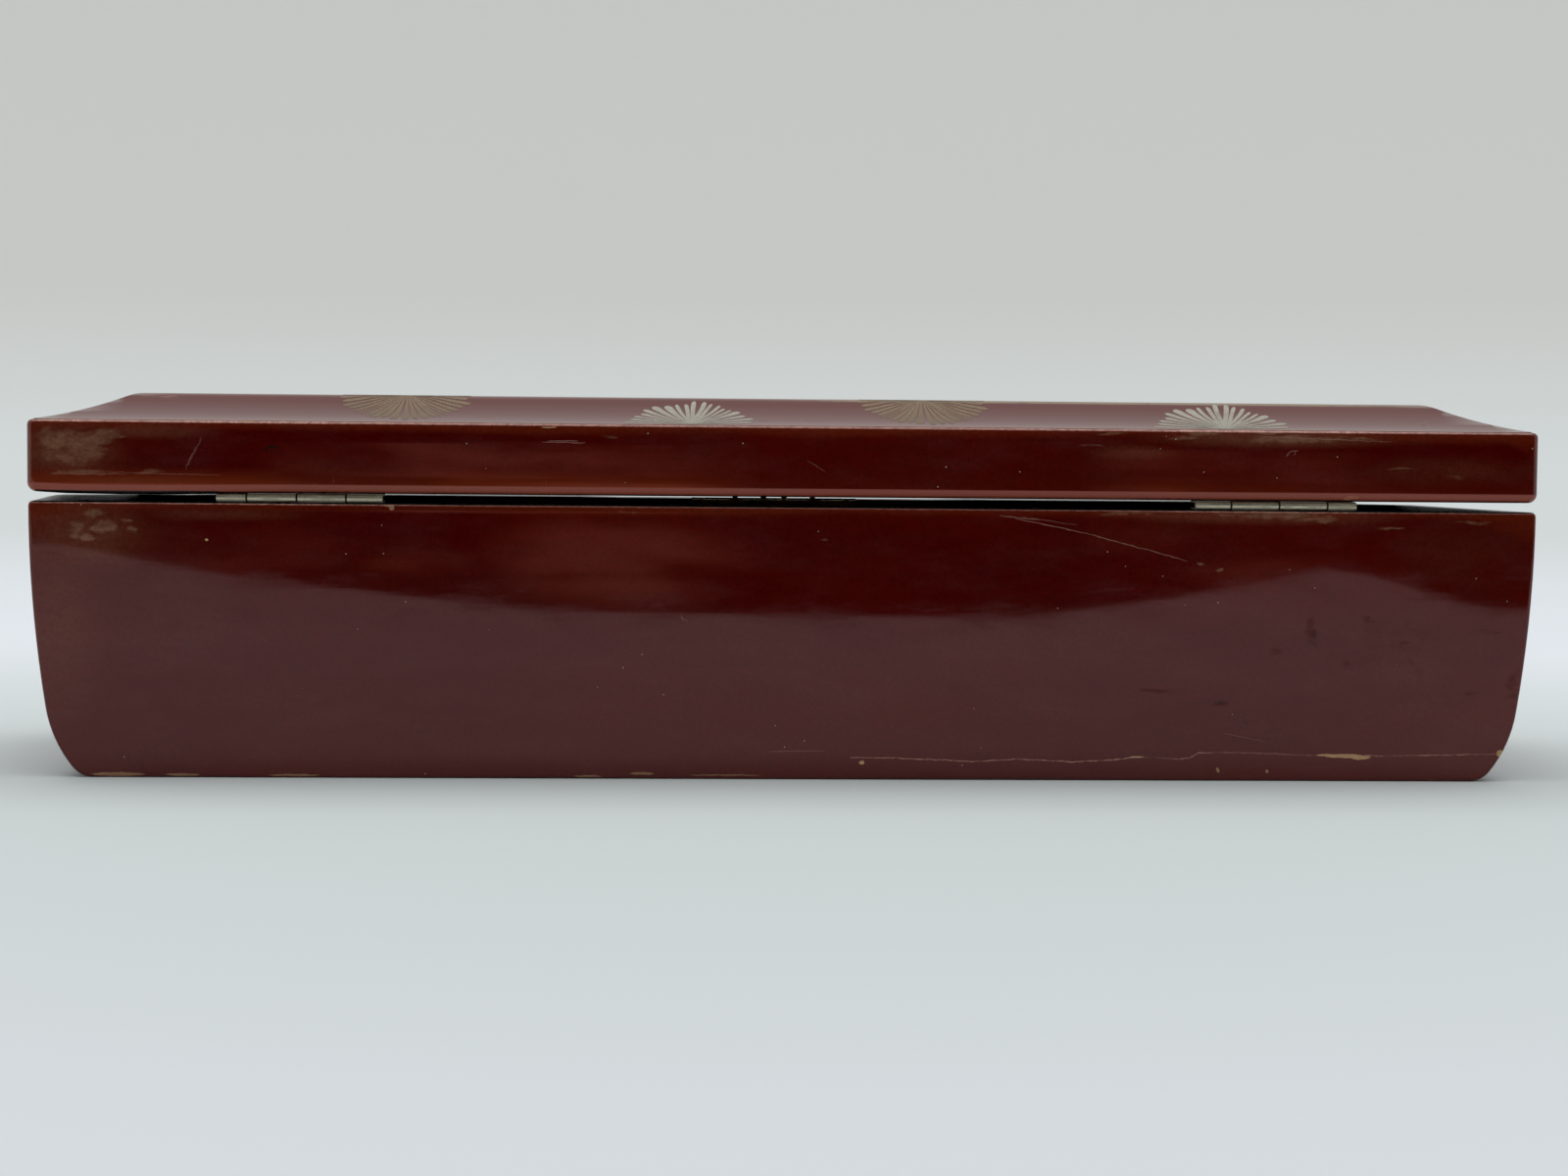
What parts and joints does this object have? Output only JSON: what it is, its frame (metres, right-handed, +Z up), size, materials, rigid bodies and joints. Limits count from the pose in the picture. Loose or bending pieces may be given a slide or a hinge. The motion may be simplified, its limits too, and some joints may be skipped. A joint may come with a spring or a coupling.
{
  "type": "box",
  "caption": "Long low lacquered wooden box with curved-in ends, a coved hinged lid and a small lock let into the front.",
  "frame": {"origin": "middle of the base, on the surface that the box stands on", "axes": "+X along the box to the right seen from the front, +Y to the hinged back, +Z up"},
  "size_m": [0.3036, 0.0916, 0.0769],
  "materials": {
    "red_lacquer": "dark red lacquer on wood, high gloss, rubbed through at edges, black inside",
    "decorated_lacquer": "dark red lacquer on wood, high gloss, with sparse fans of gold and silver pine needles",
    "aged_nickel": "dull nickel plate, aged to a yellowish grey",
    "aged_brass": "dull aged brass sheet",
    "spring_steel": "blued spring steel"
  },
  "bodies": {
    "body": {"bottom_board": "red_lacquer", "back_board": "red_lacquer", "front_board": "red_lacquer", "left_end_board": "red_lacquer", "right_end_board": "red_lacquer", "left_hinge_body_leaf": "aged_nickel", "left_hinge_pin": "aged_nickel", "left_hinge_body_nails": "aged_nickel", "right_hinge_body_leaf": "aged_nickel", "right_hinge_pin": "aged_nickel", "right_hinge_body_nails": "aged_nickel", "lock_plate": "aged_brass", "lock_plate_top_nails": "aged_brass", "lock_plate_back_nails": "aged_brass", "lock_case": "aged_brass", "lock_guide_pins": "aged_brass", "key_post": "aged_brass", "lock_spring": "spring_steel", "keyhole_escutcheon": "aged_nickel", "escutcheon_pins": "aged_nickel"},
    "lid": {"lid_back_rail": "red_lacquer", "lid_front_rail": "red_lacquer", "lid_left_rail": "red_lacquer", "lid_right_rail": "red_lacquer", "lid_top_board": "decorated_lacquer", "left_hinge_lid_leaf": "aged_nickel", "left_hinge_lid_nails": "aged_nickel", "right_hinge_lid_leaf": "aged_nickel", "right_hinge_lid_nails": "aged_nickel", "link_plate": "aged_brass", "link_plate_nails": "aged_brass"},
    "bolt": {"lock_bolt": "aged_brass"}
  },
  "joints": [
    {"name": "lid_hinge", "type": "hinge", "parent": "body", "child": "lid", "pos_m": [0, 0.04475, 0.05588], "axis": [-1, 0, 0], "range_deg": [0, 120]},
    {"name": "lock_bolt_slide", "type": "slide", "parent": "body", "child": "bolt", "axis": [1, 0, 0], "range_m": [0, 0.0017]}
  ]
}
